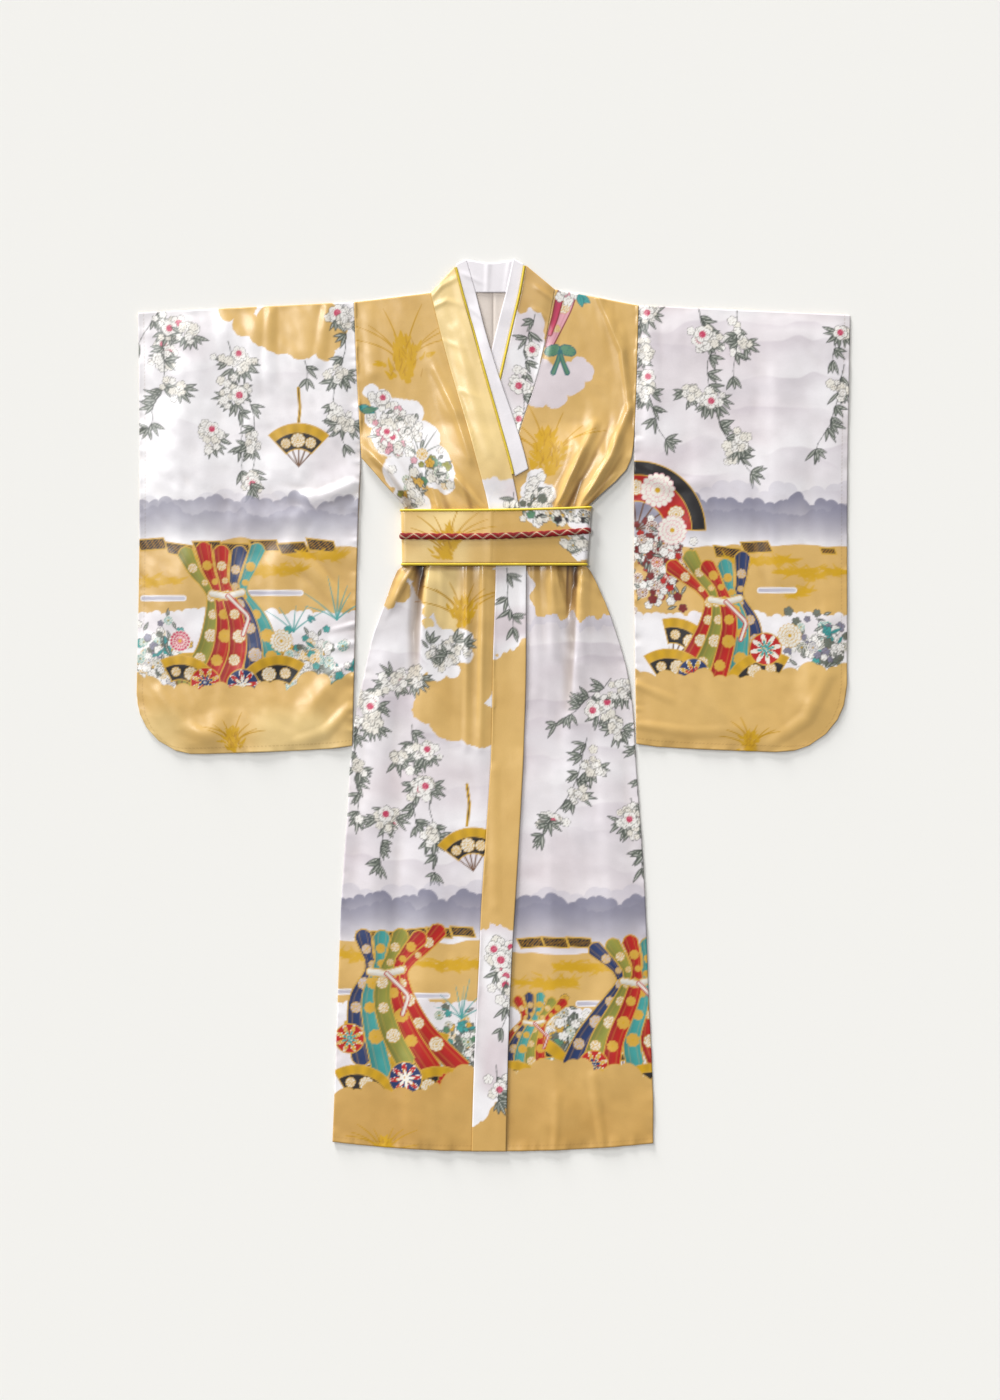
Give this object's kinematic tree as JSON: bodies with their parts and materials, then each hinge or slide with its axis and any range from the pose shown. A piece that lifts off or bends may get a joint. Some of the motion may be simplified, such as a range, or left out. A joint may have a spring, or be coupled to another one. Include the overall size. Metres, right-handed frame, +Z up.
{
  "type": "yukata",
  "caption": "Long-sleeved satin yukata laid flat and wrapped closed, with its collar bands, corded edging, belt and braid.",
  "frame": {"origin": "centre of the bounding box, on the surface that the garment lies on", "axes": "+Z up from the surface, +Y from hem to neck, +X to the right of the front as it is seen"},
  "size_m": [1.0699, 1.338, 0.0185],
  "materials": {
    "satin_print": "printed satin, soft sheen",
    "satin_inside": "satin, outside printed, inside pale",
    "satin_collar": "printed satin, soft sheen",
    "inner_collar": "plain white satin",
    "yellow_edging": "corded satin edging",
    "obi_satin": "stiffened printed satin",
    "red_braid": "matt flat braid"
  },
  "bodies": {
    "root": {"back_left": "satin_inside", "back_right": "satin_inside", "sleeve_back_left": "satin_print", "sleeve_front_left": "satin_print", "sleeve_back_right": "satin_print", "sleeve_front_right": "satin_print", "collar_back": "satin_collar", "inner_collar_back": "inner_collar", "front_right": "satin_print", "inner_collar_right": "inner_collar", "collar_right": "satin_collar", "edging_right": "yellow_edging", "front_left": "satin_print", "inner_collar_left": "inner_collar", "collar_left": "satin_collar", "edging_left": "yellow_edging", "obi": "obi_satin", "obi_edging_top": "yellow_edging", "obi_edging_bottom": "yellow_edging", "obi_braid": "red_braid"}
  },
  "joints": []
}
